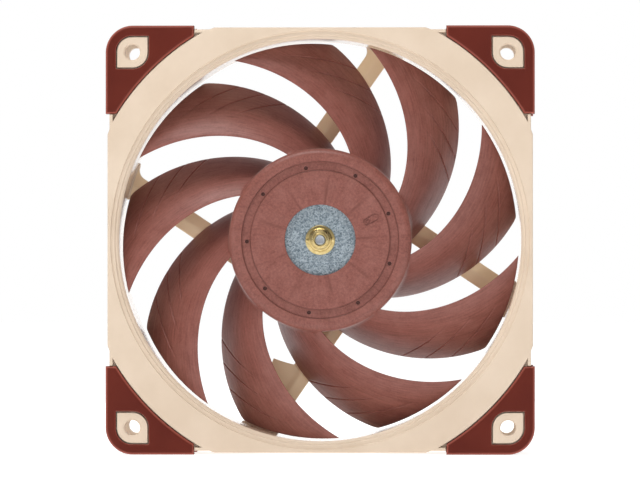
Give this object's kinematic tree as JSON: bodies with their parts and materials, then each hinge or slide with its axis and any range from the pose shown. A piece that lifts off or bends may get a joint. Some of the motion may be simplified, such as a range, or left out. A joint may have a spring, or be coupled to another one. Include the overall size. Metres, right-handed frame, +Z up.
{
  "type": "case fan",
  "caption": "Square axial case fan with soft corner pads, swept blades on a round hub, and a brushless motor inside.",
  "frame": {"origin": "on the rotation axis, at half the depth", "axes": "+Y along the rotation axis towards the outlet side, where the struts are, +Z up, +X to the right as seen from the intake side"},
  "size_m": [0.12, 0.025, 0.12],
  "materials": {
    "frame_plastic": "fine satin moulding, pale beige",
    "pad_silicone": "soft matt silicone, dark red-brown",
    "blade_plastic": "satin glass-filled moulding with fine flow streaks, brown",
    "zinc_steel": "zinc-coated pressed steel with fine spangle",
    "brass": "turned, bright",
    "steel": "ground",
    "bronze": "oil-filled sintered bronze, matt",
    "nylon": "natural nylon",
    "magnet": "bonded ferrite, dark matt",
    "lamination": "stacked laminations with thin varnish",
    "copper": "enamelled copper wire",
    "board": "green solder mask",
    "component": "moulded black",
    "label": "plain printed film, satin"
  },
  "bodies": {
    "housing": {"frame": "frame_plastic", "pad_front_top_right": "pad_silicone", "pad_front_top_left": "pad_silicone", "pad_front_bottom_left": "pad_silicone", "pad_front_bottom_right": "pad_silicone", "pad_rear_top_right": "pad_silicone", "pad_rear_top_left": "pad_silicone", "pad_rear_bottom_left": "pad_silicone", "pad_rear_bottom_right": "pad_silicone", "rear_label": "label", "bearing_tube": "brass", "bearing_sleeve": "bronze", "oil_seal_washer": "nylon", "thrust_disc": "nylon", "bias_magnet": "magnet", "stator_core": "lamination", "insulator_front": "nylon", "insulator_rear": "nylon", "coil_1": "copper", "coil_2": "copper", "coil_3": "copper", "coil_4": "copper", "terminal_pin_1": "steel", "terminal_pin_2": "steel", "terminal_pin_3": "steel", "terminal_pin_4": "steel", "circuit_board": "board", "hall_sensor": "component", "driver_chip": "component", "capacitor_1": "component", "capacitor_2": "component", "diode": "component", "resistor_1": "component", "resistor_2": "component", "resistor_3": "component"},
    "rotor": {"impeller": "blade_plastic", "rotor_cup": "zinc_steel", "ring_magnet": "magnet", "hub_bushing": "brass", "shaft": "steel", "retaining_ring": "steel"}
  },
  "joints": [
    {"name": "rotor_spin", "type": "hinge", "parent": "housing", "child": "rotor", "pos_m": [0, 0, 0], "axis": [0, -1, 0], "continuous": true}
  ]
}
